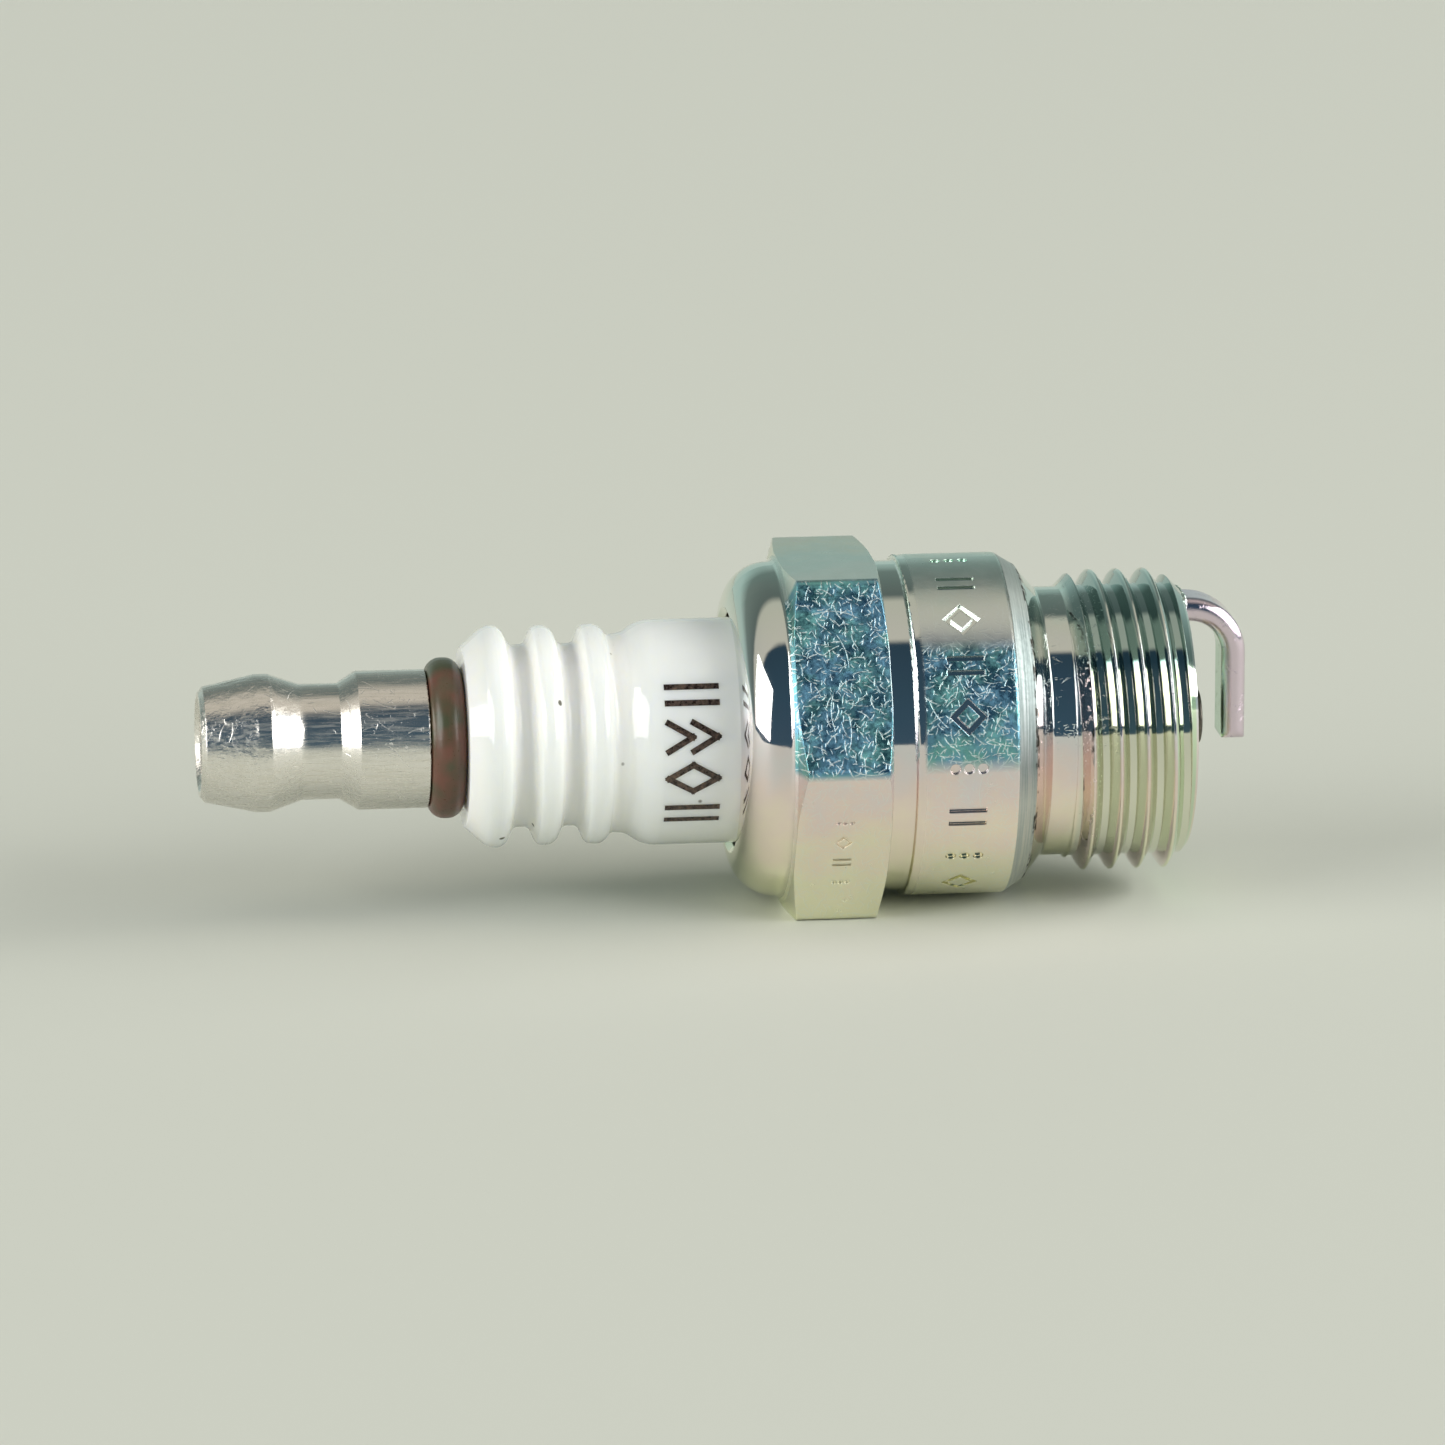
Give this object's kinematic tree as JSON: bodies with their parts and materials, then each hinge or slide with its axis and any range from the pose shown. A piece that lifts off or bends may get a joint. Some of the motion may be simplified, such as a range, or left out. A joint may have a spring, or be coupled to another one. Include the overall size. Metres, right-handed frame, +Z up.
{
  "type": "spark plug",
  "caption": "Compact motorcycle spark plug with a conical seat, M14 x 1.25 thread, 16 mm hexagon, ribbed white insulator and a screw-on terminal nut.",
  "frame": {"origin": "on the plug's axis at the middle of the conical seat", "axes": "+X along the plug's axis towards the firing end, +Z up with the plug lying on one flat of its hexagon"},
  "size_m": [0.0484, 0.0184, 0.016],
  "materials": {
    "aluminium_nut": "polished",
    "steel_stud": "satin",
    "elastomer_ring": "satin",
    "glazed_alumina": "gloss",
    "fused_glass": "satin",
    "nickel_electrode": "satin",
    "copper": "satin",
    "zinc_plated_steel": "polished",
    "zinc_plated_strap": "polished",
    "soft_steel_gasket": "satin",
    "steel_wire_ring": "satin",
    "pressed_talc": "matte"
  },
  "bodies": {
    "plug": {"shell": "zinc_plated_steel", "insulator": "glazed_alumina", "terminal_stud": "steel_stud", "glass_seal": "fused_glass", "center_electrode": "nickel_electrode", "copper_core": "copper", "ground_electrode": "zinc_plated_strap", "seat_gasket": "soft_steel_gasket", "lower_packing_ring": "steel_wire_ring", "upper_packing_ring": "steel_wire_ring", "talc_filler": "pressed_talc"},
    "seal_ring": {"terminal_seal_ring": "elastomer_ring"},
    "nut": {"terminal_nut": "aluminium_nut"}
  },
  "joints": [
    {"name": "nut_travel", "type": "slide", "parent": "plug", "child": "seal_ring", "axis": [-1, 0, 0], "range_m": [0, 0.0091]},
    {"name": "nut_turn", "type": "hinge", "parent": "seal_ring", "child": "nut", "pos_m": [-0.032, 0, 0], "axis": [-1, 0, 0], "range_deg": [0, 4681]}
  ],
  "couplings": [
    {"joint": "nut_turn", "follows": "nut_travel", "rad_per_m": 8976}
  ]
}
